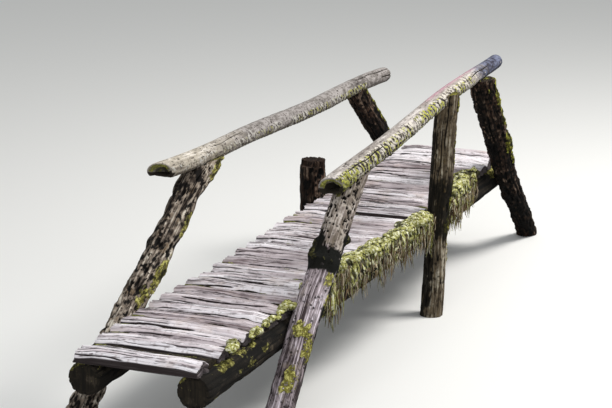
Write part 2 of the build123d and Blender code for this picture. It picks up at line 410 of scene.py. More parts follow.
def dryingChecks(angle, run, radius, seed, count, length):
    # Long splits: deep (1 - distance / width) beside a wandering line, thinning out at both ends
    pick = np.random.default_rng(seed)
    depth = np.zeros_like(run)
    for _ in range(count):
        middle, start, reach = pick.uniform(0, 2 * np.pi), pick.uniform(0, length), pick.uniform(0.25, 1.1)
        width, deep = 0.004 * pick.uniform(1.0, 1.8), pick.uniform(0.005, 0.012)
        wander = 0.10 * np.sin(run * 5.3 + middle * 7) + 0.05 * np.sin(run * 17.0 + middle)
        gap = turnGap(angle, middle + wander) * radius
        along = clampStep(run, start, start + 0.12) * clampStep(start + reach - run, 0, 0.12)
        depth = np.maximum(depth, deep * along * np.clip(1 - gap / width, 0, 1))
    return depth


def railPoint(rail, share):
    # Straight line between the ends, raised by bow sin(pi s) + kink sin(2 pi s) + ripple sin(4 pi s)
    points = blend((np.array(rail["near"]), np.array(rail["far"])), share[..., None])
    for turn, height in zip((1, 2, 4), rail["waves"]):
        points[..., 2] += height * np.sin(turn * np.pi * share)
    return points


def railRadius(rail, share):
    # Straight taper between the two end radii plus belly sin(pi s)
    return blend(rail["radii"], share) + rail["belly"] * np.sin(np.pi * share)


railRight = {"near": (-1.5, -0.612, 1.646), "far": (2.69, -0.566, 1.835), "waves": (0.02, -0.014, 0.005),
             "belly": 0.002, "radii": (0.083, 0.064), "seed": 11, "ridges": (192, 88, 0.009, 3.6),
             "bandEnds": (1.0, 0.7), "slant": 31, "flush": (72, 40, 2.1, 3.7), "hollowShade": 1.0}
railLeft = {"near": (-1.86, 0.598, 1.743), "far": (2.86, 0.553, 1.6), "waves": (-0.016, -0.008, -0.01),
            "belly": 0.004, "radii": (0.071, 0.07), "seed": 23, "ridges": (208, 60, 0.005, 4.4),
            "bandEnds": (0.3, 0.85), "slant": 46, "flush": (80, 30, 1.5, 1.6), "hollowShade": 0.45}
flatDepth, flatLength, ridgePitch, ridgeLean = 0.034, 0.17, 0.064, 4.6


def dressRail(name, node, rail, material, around=92, rows=430):
    # A peeled log: soft swells, drying cracks, curled bark edges along one flank, rotted near end
    path = pathOf(railPoint(rail, np.linspace(0, 1, 200)))
    length, tangent = path["run"][-1], path["tangent"]
    seed, nearRadius = rail["seed"], rail["radii"][0]
    angle = turns(around)
    # The near end is cut at a slant: the -Y side starts later than the +Y side, the underside later than the top
    slanted = math.tan(math.radians(rail["slant"])) * nearRadius * (1 - np.cos(angle))
    slanted = (slanted + 0.03 * (1 - np.sin(angle))) / length
    share = slanted + (1 - slanted) * np.linspace(0, 1, rows)[:, None]
    base = railRadius(rail, share)
    run = share * length
    angle = angle + 0 * share
    nearRun = run - slanted * length
    grain = grainOf(base, angle, run, seed)
    bumps = noiseOn(grain, seed)
    swell = bumps((9, 9, 3))
    fibre = bumps((60, 60, 10), 3)
    pitted = np.clip(bumps((50, 50, 34), 7) - 0.25, 0, 1)
    checks = dryingChecks(angle, run, base, seed + 5, 11, length)
    # Curled bark on the flank: ridges that run round the log at a slant, phase 2 pi run / pitch - lean angle
    ridgeMiddle, ridgeHalf, ridgeHeight, ridgeEnd = rail["ridges"]
    phase = 2 * np.pi * run / ridgePitch - ridgeLean * angle + 3.4 * bumps((13, 13, 9), 9)
    band = clampStep(1 - turnGap(angle, math.radians(ridgeMiddle)) / math.radians(ridgeHalf), 0.0, 0.35)
    band = band * clampStep(bumps((9, 9, 4), 15) + 0.95, 0, 0.6) * clampStep(ridgeEnd - run, 0.0, 0.5)
    band = band * blend(rail["bandEnds"], share)
    flushMiddle, flushHalf, flushStart, flushEnd = rail["flush"]
    flush = turnPatch(angle, flushMiddle, flushHalf)
    flush = flush * clampStep(run, flushStart, flushStart + 0.4) * clampStep(flushEnd - run, 0.0, 0.4)
    flow = joined(phase, band, flush)
    radius = base - 0.0015 + 0.0025 * swell + 0.001 * fibre - checks - 0.004 * pitted
    radius = radius + band * ridgeHeight * (0.2 + 0.5 * np.sin(phase) + 0.3 * bumps(75, 18))
    radius = np.minimum(radius, base + 0.008 * band + 0.003)
    # Rounded far end, worn near rim
    farGap = np.clip(length - run, 0, 0.06) / 0.06
    nearGap = np.clip(nearRun, 0, 0.02) / 0.02
    radius = radius * (0.72 + 0.28 * np.sqrt(1 - (1 - farGap) ** 2)) * (0.93 + 0.07 * np.sqrt(nearGap))
    points, spread = roundPoints(path, angle, share, radius)
    # Hewn flat under the near end
    flatLevel = rail["near"][2] - nearRadius + flatDepth + 0.003 * bumps((40, 40, 12), 21)
    flatLevel = flatLevel - 1.4 * flatDepth * np.clip((run - 0.6 * flatLength) / 0.14, 0, 1)
    hewn = run < flatLength + 0.1
    points[..., 2] = np.where(hewn, np.maximum(points[..., 2], flatLevel), points[..., 2])
    under = -np.sin(angle)
    # Painted shade in the drying checks and pits, and under the near end
    cavityShade = np.maximum(checks / 0.007, 0.8 * pitted)
    cavityShade = np.maximum(cavityShade, clampStep(0.07 - nearRun, 0.0, 0.05) * clampStep(under, 0.1, 0.5))
    # Painted shade on the underside: the blue mark rises and the tone falls towards the underside, so the top reads
    # lighter
    marks = joined(cavityShade, 0.55 * band * clampStep(0.7 - nearRun, 0.0, 0.6),
                   0.6 * clampStep(under, 0.1, 0.9) + 0.2 * clampStep(swell, 0.2, 0.9),
                   0.46 - 0.1 * under + 0.14 * swell + 0.1 * fibre)
    # Near end: a thin pale rim above, a mossy face below it and a rotted hollow in the lower half, its darkness painted
    # shade; the whole end face is darkened by painted shade as well
    fold, inward = np.array([(0.15, 0.1), (0.42, 0.09), (0.58, 0.06), (0.64, 0.022), (0.76, 0.012), (0.88, 0.004),
                             (0.96, 0.0)]).T[..., None]
    rough = layered(spread[0] * 3.4 + seed, seed + 30, 2)
    upper = clampStep(spread[0][:, 2], -0.35, 0.35)
    middle = points[0].mean(0)
    nearRings = middle + (points[0] - middle) * (fold + 0.06 * rough * (fold < 0.9))[..., None]
    nearRings[..., 2] -= 0.45 * nearRadius * (1 - fold)
    nearRings += tangent[0] * (inward * (1 + 0.25 * rough))[..., None]
    # Painted shade in the hollow and over the lower half of the end face
    dark = np.maximum(clampStep(inward, 0.014, 0.04) * rail["hollowShade"], (1 - upper) * (fold < 0.97))
    nearMarks = joined(dark, 0.7 * (fold < 0.92) * (1 - dark), 0.72, 0.4 + 0.3 * upper)
    fold = np.array([0.85, 0.65, 0.42, 0.18])
    farRings = foldRings(points[-1], fold) - tangent[-1] * 0.0015 * (1 - fold[:, None, None])
    farMarks = 0 * farRings[..., :1] + (0.1, 0, 0.3, 0.4)
    nearGrain, farGrain = [rings[..., [1, 2, 0]] - (0, 0, rail["near"][0]) for rings in (nearRings, farRings)]
    still = (1, 0, 0)
    fields = {"grain": (nearGrain, grain, farGrain), "marks": (nearMarks, marks, farMarks),
              "flow": (flow[[0] * len(nearRings)] * still, flow, flow[[-1] * len(farRings)] * still)}
    ringMesh(name, (nearRings, points, farRings), fields, material, node, "rail_wood")


railLook = dict(
    fibreStretch=(60.0, 60.0, 12.0), strandStretch=(30.0, 30.0, 5.0), fibreContrast=1.2, strandContrast=0.9,
    blotchScale=9.0, speckScale=42.0, groove=(84, 74, 68), grooveShare=0.5, grooveWidth=0.02,
    dark=(110, 100, 94), middle=(174, 165, 158), pale=(222, 214, 208), stain=(156, 146, 130), stainShare=0.5,
    speck=(74, 66, 58), speckShare=0.75, farFrom=(3.3, 3.75), farStain=(34, 38, 62), farPale=(104, 112, 140),
    farShare=0.9, flush=(196, 150, 164), crescent=(184, 184, 72), crescentPale=(224, 216, 204),
    crescentShade=(40, 32, 22), dampAndShade=(92, 84, 74), dampAndShadeShare=0.7, hollowShade=(40, 34, 26),
    mossDark=(44, 40, 14), moss=(130, 130, 44), mossPale=(206, 206, 100), bump=0.9, rough=0.92)
leftRailLook = dict(
    railLook, dark=(112, 102, 92), middle=(192, 182, 166), pale=(242, 234, 222), speck=(70, 58, 54),
    speckShare=0.9, speckScale=40.0, farFrom=(0.5, 1.8), farStain=(98, 93, 92), farPale=(161, 155, 154),
    farShare=0.85, crescent=(160, 157, 80), crescentPale=(196, 192, 184))
dressRail("railRight", "rail_right", railRight, woodShader("railWood", railLook))
dressRail("railLeft", "rail_left", railLeft, woodShader("leftRailWood", leftRailLook))
print("rails made")


# Posts: each follows its crooked line, is cut to the rail above and housed on the stringer

deckTop, seatDepth, saddleDepth = 0.9, 0.012, 0.004
housing = {-1: 0.514, 1: 0.512}
housingLow, housingHigh = 0.525, 0.912


def postLine(post, height):
    # Two straight leans that meet at deck level, plus crook sin(2 pi s) in each half
    below = height < deckTop
    share = np.where(below, height / deckTop, (height - deckTop) / (post["railHeight"] - deckTop))
    kneeRadius = 0.5 * sum(post["radii"])
    x, radius = [blend((np.where(below, low, middle), np.where(below, middle, high)), share)
                 for low, middle, high in ((post["foot"], post["knee"], post["head"]),
                                           (post["radii"][1], kneeRadius, post["radii"][0]))]
    x = x + post["crook"] * np.sin(2 * np.pi * share)
    spread = housing[post["side"]] + kneeRadius - seatDepth + np.where(below, 0, post["shift"] * share)
    return joined(x, post["side"] * spread, height), radius


def cutLevel(post, points):
    # The stump's broken top: one level on the far side, dropped by a step on the near side, with splinters
    if "step" in post:
        jag = 0.006 * layered(points * (70, 70, 0), 5, 2) - 0.006
        return post["top"] + jag - np.where(points[..., 0] < post["knee"] - 0.02, post["step"], 0)
    # Else the underside of the rail, z - sqrt(r^2 - dy^2), where it lies over the post, or the cheek level
    rail = post["rail"]
    share = np.clip((points[..., 0] - rail["near"][0]) / (rail["far"][0] - rail["near"][0]), 0, 1)
    middle = railPoint(rail, share)
    radius = railRadius(rail, share) - saddleDepth
    gap = np.abs(points[..., 1] - middle[..., 1])
    saddle = middle[..., 2] - np.sqrt(np.clip(radius ** 2 - gap ** 2, 0, None))
    cheek = post["railHeight"] + post["cheek"]
    return np.where(gap < radius, np.minimum(saddle, cheek), cheek)


def scatter(pick, count, *spans):
    # Random pits: angle, height, half width, half length and depth, each evenly spread in its range
    low, high = np.array(spans).T
    found = pick.uniform(low, high, (count, 5))
    found[:, 0] = np.radians(found[:, 0])
    return found


def dressPost(name, post, material, around=128, rows=210):
    # Furrowed log between the water line and the cut head, with pits, moss, and damp together with painted shade by
    # region
    seed, top, side, mottle = post["seed"], post["top"], post["side"], post["mottle"]
    path = pathOf(*postLine(post, np.linspace(-0.16, top, 260)))
    angle = turns(around)
    fine = np.linspace(0, 1, 520)[:, None] + 0 * angle
    trial, _ = roundPoints(path, angle, fine, alongPath(path, fine, "radii"))
    over = trial[..., 2] > 0
    beyond = trial[..., 2] > cutLevel(post, trial)
    low = fine[over.argmax(0), 0]
    high = fine[np.where(beyond.any(0), beyond.argmax(0), len(fine) - 1), 0]
    share = blend((low, high), np.linspace(0, 1, rows)[:, None])
    angle = angle + 0 * share
    base, run = alongPath(path, share, "radii"), alongPath(path, share, "run")
    height = alongPath(path, share, "centres")[..., 2]
    grain = grainOf(base, angle, run, seed)
    bumps = noiseOn(grain, seed)
    furrow = cracks(grain * (post["furrowAcross"], post["furrowAcross"], post["furrowAlong"]), seed, 0.55) ** 2
    finer = cracks(grain * (85, 85, 9), seed + 4, 0.5) ** 2
    swell = bumps((8, 8, 3), 6)
    lumps = bumps((26, 26, 16), 9)
    crumbled = bumps((46, 46, 36), 25, 3)
    rot = 0.012 * mottle * clampStep(-crumbled, 0.1, 0.5)
    for middle, half, strength in post["rotted"]:
        rot = np.maximum(rot, strength * patch(height, middle, half))
    pick = np.random.default_rng(seed)
    depth = pits(angle, height, base, np.concatenate([scatter(pick, *group) for group in post["holes"]]))
    splits = dryingChecks(angle, run, base, seed + 21, post["splits"], path["run"][-1])
    moss = strongest(post["moss"], angle, height)
    moss = clampStep(moss * 1.5 + 0.45 * bumps((22, 22, 14), 12, 3), 0.45, 0.8)
    bulges = 0 * run
    for middleAngle, middle, across, along, out in post["bulges"]:
        gap = turnGap(angle, math.radians(middleAngle)) * base
        bulges += out * patch(gap, 0, across) * patch(height, middle, along)
    radius = (base + 0.001 + 0.005 * swell + post["lumpHeight"] * lumps - 0.0025 * finer
              - post["furrowDepth"] * furrow * (1 - 0.6 * moss) - splits * (1 - moss) - depth * (1 - 0.8 * moss)
              - rot * np.clip(0.3 + lumps, 0, 1) + post["mossDepth"] * moss * (0.55 + 0.6 * bumps(42, 15)) + bulges)
    points, _ = roundPoints(path, angle, share, radius)
    tall = np.clip(points[..., 2], 0, top)
    points[..., 2] = np.minimum(np.maximum(points[..., 2], 0), np.maximum(cutLevel(post, points), tall - 0.02))
    inZone = (points[..., 2] > housingLow) & (points[..., 2] < housingHigh)
    outside = np.maximum(side * points[..., 1], housing[side] + margin) * side
    points[..., 1] = np.where(inZone, outside, points[..., 1])
    # Damp together with painted shade: the wet zones darken damp patches and also the shaded left and front sides
    dampAndShade = strongest(post["wetAndShade"], angle, height, post["dampAndShade"])
    dampAndShade = dampAndShade * np.clip(1 + 1.3 * bumps((30, 30, 18), 14, 3), 0.15, 2.2)
    tone = post["tone"] + 0.16 * swell + 0.1 * lumps + 0.3 * mottle * crumbled
    for middle, half, change in post["tones"]:
        tone = tone + change * patch(height, middle, half)
    # Painted shade in pits, furrows and splits, and in the recesses where the rot eats in
    cavityShade = np.maximum(np.clip(depth / 0.012, 0, 1), post["furrowShade"] * (furrow + 0.5 * finer))
    cavityShade = np.maximum(np.maximum(cavityShade, splits / 0.008), 1.4 * mottle * clampStep(-crumbled, 0.2, 0.55))
    marks = joined(cavityShade, 0.68 * moss, dampAndShade, tone)
    # Ends: flat at the water line, rough along the cut at the head
    folds = np.array([0.8, 0.55, 0.3, 0.12])
    points[0, :, 2] = 0
    lowRings, highRings = foldRings(points[0], folds[::-1]), foldRings(points[-1], folds)
    rough = 0.5 + 0.5 * layered(highRings * (60, 60, 8), seed + 33, 2)
    sunk = 0.014 * (1 - folds[:, None]) + 0.008 * rough if "step" in post else 0.002 + 0.0024 * rough
    highRings[..., 2] = cutLevel(post, highRings) - sunk
    highMarks = joined(0.5 * rough, post["topMoss"], 0.1, post["topTone"])
    rings = np.clip(np.concatenate([lowRings, points, highRings]), wholeLow + margin, wholeHigh - margin)
    rings[:len(folds), :, 2] = 0
    fields = {"grain": (lowRings, grain, highRings * (1, 1, 0.3)), "marks": (marks[[0] * len(folds)], marks, highMarks)}
    ringMesh(name, [rings], fields, material, post["node"], "post_wood")


postLook = dict(
    fibreStretch=(84.0, 84.0, 5.0), strandStretch=(46.0, 46.0, 2.4), fibreContrast=1.0, strandContrast=1.5,
    blotchScale=8.0, speckScale=34.0, groove=(44, 36, 32), grooveShare=0.85, grooveWidth=0.03,
    dark=(92, 80, 78), middle=(174, 160, 160), pale=(226, 214, 219), stain=(150, 134, 114), stainShare=0.45,
    speck=(46, 36, 30), speckShare=0.9, dampAndShade=(30, 27, 18), dampAndShadeShare=0.9, hollowShade=(20, 16, 13),
    mossDark=(42, 38, 14), moss=(118, 112, 48), mossPale=(204, 198, 118), bump=0.9, rough=0.94)
nearPostWood = woodShader("nearPostWood", dict(
    postLook, dark=(64, 53, 54), middle=(172, 158, 162), pale=(248, 236, 244), strandContrast=2.3,
    strandStretch=(74.0, 74.0, 3.0), grooveWidth=0.04, speck=(22, 17, 13), speckScale=30.0, dampAndShade=(12, 12, 7),
    dampAndShadeShare=1.0, farFrom=(1.75, 1.95), farStain=(126, 114, 99), farPale=(210, 199, 184), farShare=0.75))
leftPostWood = woodShader("leftPostWood", dict(
    postLook, dark=(56, 46, 38), middle=(150, 136, 122), pale=(226, 216, 200), strandContrast=2.2,
    stain=(112, 90, 62), stainShare=0.7))
greyPostWood = woodShader("greyPostWood", dict(
    postLook, dark=(44, 36, 26), middle=(112, 98, 78), pale=(196, 186, 166), stain=(96, 78, 44), stainShare=0.75,
    strandContrast=2.2, speck=(36, 28, 20), speckShare=0.5, dampAndShade=(16, 14, 8), hollowShade=(12, 10, 6),
    moss=(104, 98, 30), mossPale=(180, 176, 74)))
blackPostWood = woodShader("blackPostWood", dict(
    postLook, dark=(14, 10, 8), middle=(60, 44, 34), pale=(156, 134, 116), stain=(84, 54, 38), speck=(12, 9, 7),
    dampAndShade=(10, 8, 6), hollowShade=(5, 4, 3), mossDark=(26, 24, 8), moss=(104, 102, 32), mossPale=(192, 192, 84)))

# Each post's wet zones give damp together with painted shade on the shaded sides: angle, half angle, height, half
# height and strength
postBase = dict(shift=0, dampAndShade=0, splits=6, topMoss=0.3, topTone=0.3, tones=(), bulges=(), rotted=())
postRightNear = dict(
    postBase, node="post_right_near", side=-1, rail=railRight, head=-0.859, knee=-1.772, foot=-2.618,
    radii=(0.102, 0.104), cheek=-0.045, crook=0.014, railHeight=1.6774, top=1.82, seed=31, furrowAcross=46,
    furrowAlong=2.2, furrowDepth=0.004, furrowShade=0.1, splits=4, lumpHeight=0.005, mossDepth=0.012, tone=0.36,
    tones=[(0.85, 0.3, 0.18)], mottle=0.1, topMoss=0.2, topTone=0.4,
    holes=[(120, (20, 215), (1.13, 1.64), (0.0065, 0.009), (0.007, 0.01), (0.016, 0.024)),
           (26, (15, 66), (1.15, 1.6), (0.008, 0.014), (0.01, 0.02), (0.012, 0.022)),
           (16, (140, 205), (1.2, 1.6), (0.009, 0.013), (0.009, 0.014), (0.016, 0.024))],
    moss=[(78, 26, 1.5, 0.1, 1), (112, 130, 1.09, 0.055, 0.5), (30, 40, 1.16, 0.11, 0.9),
          (202, 30, 1.25, 0.06, 0.9), (158, 46, 1, 0.07, 1), (200, 40, 0.9, 0.16, 0.9),
          (110, 70, 0.7, 0.12, 0.8), (160, 60, 0.6, 0.16, 0.9), (110, 60, 0.4, 0.16, 0.8)],
    bulges=[(24, 1.13, 0.06, 0.07, 0.026), (34, 1.2, 0.04, 0.04, 0.018), (202, 1.26, 0.04, 0.035, 0.034),
            (112, 1.09, 0.3, 0.06, 0.01)],
    wetAndShade=[(112, 220, 1.095, 0.08, 8), (26, 70, 1.15, 0.16, 5), (72, 30, 1.5, 0.1, 0.9), (24, 36, 1.45, 0.4, 0.9),
         (206, 56, 1.26, 0.1, 4), (206, 34, 1.05, 0.26, 3), (200, 34, 0.84, 0.3, 1.6), (207, 22, 0.5, 0.5, 4),
         (150, 200, 0.1, 0.25, 0.6), (270, 80, 0.9, 1.2, 0.5)])
postRightMiddle = dict(
    postBase, node="post_right_middle", side=-1, rail=railRight, head=1.147, knee=1.057, foot=0.9, shift=0.036,
    radii=(0.094, 0.094), cheek=0.045, crook=0.009, railHeight=1.799, top=1.95, seed=47, furrowAcross=44,
    furrowAlong=1.5, furrowDepth=0.005, furrowShade=0.14, splits=14, lumpHeight=0.003, mossDepth=0.01, tone=0.45,
    tones=[(0.35, 0.32, 0.2), (0.92, 0.34, -0.3), (1.5, 0.3, 0.06)], mottle=0.3, topMoss=0.8,
    holes=[(14, (60, 260), (0.2, 1.6), (0.004, 0.01), (0.01, 0.05), (0.006, 0.014))],
    moss=[(195, 42, 1.76, 0.12, 1), (205, 26, 1.4, 0.4, 0.75), (190, 36, 0.98, 0.24, 1),
          (170, 60, 0.74, 0.16, 0.8), (195, 26, 0.5, 0.2, 0.7)],
    wetAndShade=[(110, 150, 0.88, 0.34, 3.2), (52, 60, 0.5, 0.8, 5), (34, 38, 1.3, 0.7, 3)])
postRightFar = dict(
    postBase, node="post_right_far", side=-1, rail=railRight, head=2.092, knee=2.764, foot=3.639,
    radii=(0.116, 0.092), cheek=-0.04, crook=0.016, railHeight=1.8228, top=1.97, seed=59, furrowAcross=30,
    furrowAlong=8, furrowDepth=0.012, furrowShade=0.45, splits=4, lumpHeight=0.012, mossDepth=0.014, dampAndShade=0.1,
    tone=0.42, mottle=0.8,
    holes=[(26, (60, 260), (0.5, 1.7), (0.008, 0.02), (0.012, 0.05), (0.01, 0.02))],
    moss=[(200, 50, 1.5, 0.5, 1.15), (188, 56, 1.12, 0.2, 1), (200, 40, 0.95, 0.2, 0.8), (150, 60, 1.72, 0.08, 0.6)],
    bulges=[(196, 1.1, 0.08, 0.1, 0.03)],
    wetAndShade=[(80, 60, 1.2, 1.2, 1), (130, 150, 0.4, 0.7, 0.9)])
postLeftNear = dict(
    postBase, node="post_left_near", side=1, rail=railLeft, head=-0.87, knee=-2.19, foot=-3.584,
    radii=(0.112, 0.092), cheek=-0.035, crook=0.02, railHeight=1.6906, top=1.82, seed=67, furrowAcross=40,
    furrowAlong=6, furrowDepth=0.009, furrowShade=0.25, lumpHeight=0.015, mossDepth=0.014, tone=0.4,
    tones=[(0.6, 0.4, 0.1)], mottle=1, topMoss=0.5,
    holes=[(16, (40, 210), (0.9, 1.65), (0.012, 0.022), (0.014, 0.028), (0.02, 0.036)),
           (60, (40, 210), (0.8, 1.7), (0.005, 0.009), (0.007, 0.014), (0.01, 0.02))],
    moss=[(190, 44, 1.62, 0.12, 1), (190, 38, 1.3, 0.13, 1.1), (180, 56, 1, 0.18, 1.2), (158, 60, 0.9, 0.12, 0.8),
          (170, 60, 0.72, 0.18, 0.8), (150, 60, 0.5, 0.16, 0.6)],
    bulges=[(90, 1.1, 0.05, 0.1, 0.01), (80, 1.4, 0.04, 0.08, 0.012), (95, 1.62, 0.08, 0.1, 0.02),
            (205, 1.6, 0.07, 0.08, 0.014), (34, 1.16, 0.06, 0.05, 0.018), (32, 1.47, 0.06, 0.06, 0.016),
            (34, 1.31, 0.07, 0.05, -0.016), (206, 1.46, 0.07, 0.06, -0.018), (208, 1.18, 0.06, 0.05, -0.012),
            (30, 1, 0.05, 0.05, -0.012)],
    rotted=[(1.3, 0.5, 0.018)],
    wetAndShade=[(50, 40, 1.2, 0.7, 0.6), (120, 200, 0.2, 0.3, 0.5)])
postLeftFar = dict(
    postBase, node="post_left_far", side=1, rail=railLeft, head=2.143, knee=3.016, foot=3.62,
    radii=(0.101, 0.095), cheek=-0.04, crook=0.012, railHeight=1.6303, top=1.8, seed=73, furrowAcross=32,
    furrowAlong=4, furrowDepth=0.01, furrowShade=0.45, lumpHeight=0.007, mossDepth=0.01, dampAndShade=0.1, tone=0.44,
    tones=[(1.45, 0.25, 0.14)], mottle=0.6,
    holes=[(26, (60, 260), (0.5, 1.5), (0.008, 0.02), (0.012, 0.05), (0.01, 0.02))],
    moss=[(208, 30, 1.3, 0.4, 0.85), (200, 36, 1.56, 0.08, 0.9)],
    wetAndShade=[(140, 100, 1.1, 0.25, 0.9), (140, 200, 0.5, 0.6, 0.9)])
stump = dict(
    postBase, node="post_left_middle", side=1, head=1.245, knee=1.245, foot=1.245, radii=(0.112, 0.112), crook=0,
    railHeight=1.6, top=1.155, step=0.046, seed=83, furrowAcross=34, furrowAlong=3.4, furrowDepth=0.01,
    furrowShade=0.35, lumpHeight=0.006, mossDepth=0.008, dampAndShade=0.05, tone=0.48, mottle=0.5, topMoss=0.05,
    topTone=0.4,
    holes=[(1, (150, 152), (1.06, 1.061), (0.03, 0.031), (0.034, 0.035), (0.03, 0.031)),
           (10, (60, 240), (0.9, 1.1), (0.006, 0.012), (0.01, 0.04), (0.01, 0.018))],
    moss=[(195, 40, 0.85, 0.3, 0.5)], wetAndShade=[(80, 60, 0.95, 0.5, 0.8)])
dressPost("postRightNear", postRightNear, nearPostWood, 128, 280)
dressPost("postRightMiddle", postRightMiddle, greyPostWood)
dressPost("postRightFar", postRightFar, blackPostWood)
dressPost("postLeftNear", postLeftNear, leftPostWood)
dressPost("postLeftFar", postLeftFar, blackPostWood, 112, 180)
dressPost("postStump", stump, blackPostWood, 104, 110)
print("posts made")


# Stringers: round logs with a hewn top, flat where a post stands

stringerWood = woodShader("stringerWood", dict(
    postLook, dark=(34, 29, 22), middle=(72, 62, 48), pale=(122, 110, 90), speckShare=0.5, dampAndShade=(20, 17, 12),
    hollowShade=(12, 10, 7)))
stringerNear, stringerLength, stringerInset, stringerMiddle, seatLevel = -3.36, 6.53, 0.112, 0.686, 0.7948


def dressStringer(name, node, side, seed, crossings, around=88, rows=170):
    # Bark-furrowed log, clamped to the seat level above and to the housing face at each post
    share = np.linspace(0, 1, 120)
    path = pathOf(joined(stringerNear + stringerLength * share,
                         side * (housing[side] - stringerInset) + 0.004 * np.sin(7 * share + side),
                         stringerMiddle + 0.004 * np.sin(5 * share - side)))
    share = np.linspace(0, 1, rows)[:, None] + 0 * turns(around)
    angle = turns(around) + 0 * share
    base = 0.131 - 0.005 * share
    run = alongPath(path, share, "run")
    grain = grainOf(base, angle, run, seed)
    bumps = noiseOn(grain, seed)
    furrow = cracks(grain * (22, 22, 2.4), seed, 0.4)
    swell = bumps((8, 8, 2.5), 5)
    lumps = bumps((30, 30, 14), 8)
    edge = np.clip(np.minimum(run, path["run"][-1] - run), 0, 0.02) / 0.02
    radius = (base - 0.004 + 0.003 * swell + 0.002 * lumps - 0.008 * furrow) * (0.93 + 0.07 * np.sqrt(edge))
    points, _ = roundPoints(path, angle, share, radius)
    points[..., 2] = np.minimum(points[..., 2], seatLevel)
    for middle, half in crossings:
        near = np.abs(points[..., 0] - middle) < half
        held = np.minimum(side * points[..., 1], housing[side] - margin) * side
        points[..., 1] = np.where(near, held, points[..., 1])
    moss = clampStep(bumps((12, 12, 6), 12, 3) + 0.5 * np.sin(angle), 0.3, 0.7)
    marks = joined(0.7 * furrow, moss, 0.5 + 0.3 * swell, 0.22 + 0.12 * lumps)
    folds = np.array([0.8, 0.55, 0.3, 0.1])
    dent = 0.004 * (1 - folds[:, None, None]) * (1, 0, 0)
    nearRings, farRings = (foldRings(points[0], folds) + dent)[::-1], foldRings(points[-1], folds) - dent
    capMarks = 0 * nearRings[..., :1] + (0.35, 0.1, 0.5, 0.35)
    fields = {"grain": (nearRings, grain, farRings), "marks": (capMarks, marks, capMarks)}
    ringMesh(name, (nearRings, points, farRings), fields, stringerWood, node, "stringer_wood")


dressStringer("stringerRight", "stringer_right", -1, 91, [(-1.987, 0.19), (1.011, 0.14), (2.956, 0.19)])
dressStringer("stringerLeft", "stringer_left", 1, 97, [(-2.541, 0.23), (1.245, 0.165), (3.148, 0.165)])
print("stringers made")


# Deck: split logs with a broken, furrowed crown and ragged ends

deckWood = woodShader("deckWood", dict(
    fibreStretch=(80.0, 80.0, 2.6), strandStretch=(34.0, 34.0, 1.2), fibreContrast=1.2, strandContrast=0.9,
    blotchScale=5.0, speckScale=30.0, groove=(84, 70, 72), grooveShare=0.85, grooveWidth=0.03,
    dark=(128, 112, 114), middle=(212, 200, 203), pale=(252, 246, 249), stain=(192, 168, 156), stainShare=0.45,
    speck=(146, 128, 122), speckShare=0.35, dampAndShade=(96, 90, 84), dampAndShadeShare=0.8, hollowShade=(46, 38, 38),
    mossDark=(58, 56, 30), moss=(128, 126, 66), mossPale=(190, 188, 120), bump=0.7, rough=0.92))
deckCount, nearCount, wideGapNumber = 30, 14, 20


def splitLines(across, y, halfWidth, seed, count, length):
    # Splits along the log at place + slope y + wander: depth deep (1 - gap / width) with its own
    # start and end, a step tanh(gap / 4 mm) in level and a change of tone from one side to the other
    pick = np.random.default_rng(seed)
    places = (np.arange(count) + pick.uniform(0.2, 0.8, count)) / count * 2 - 1
    depth, level, tone = 0 * y, 0 * y, 0 * y
    for place in places:
        slope, turn = pick.uniform(-0.022, 0.022), pick.uniform(0, 6.28)
        line = place * halfWidth + slope * y + 0.006 * np.sin(5.2 * y + turn) + 0.0025 * np.sin(19 * y + 2 * turn)
        gap = across * halfWidth - line
        width, deep = pick.uniform(0.004, 0.0075), pick.uniform(0.007, 0.02)
        start, reach = pick.uniform(-0.9, 0.2) * 0.5 * length, pick.uniform(0.45, 1.3) * length
        along = clampStep(y, start, start + 0.1) * clampStep(start + reach - y, 0, 0.1)
        depth = np.maximum(depth, deep * along * np.clip(1 - np.abs(gap) / width, 0, 1) ** 0.8)
        side = np.tanh(gap / 0.004)
        level = level + pick.uniform(-0.003, 0.003) * along * side
        tone = tone + pick.uniform(-0.07, 0.07) * side
    return depth, level, tone


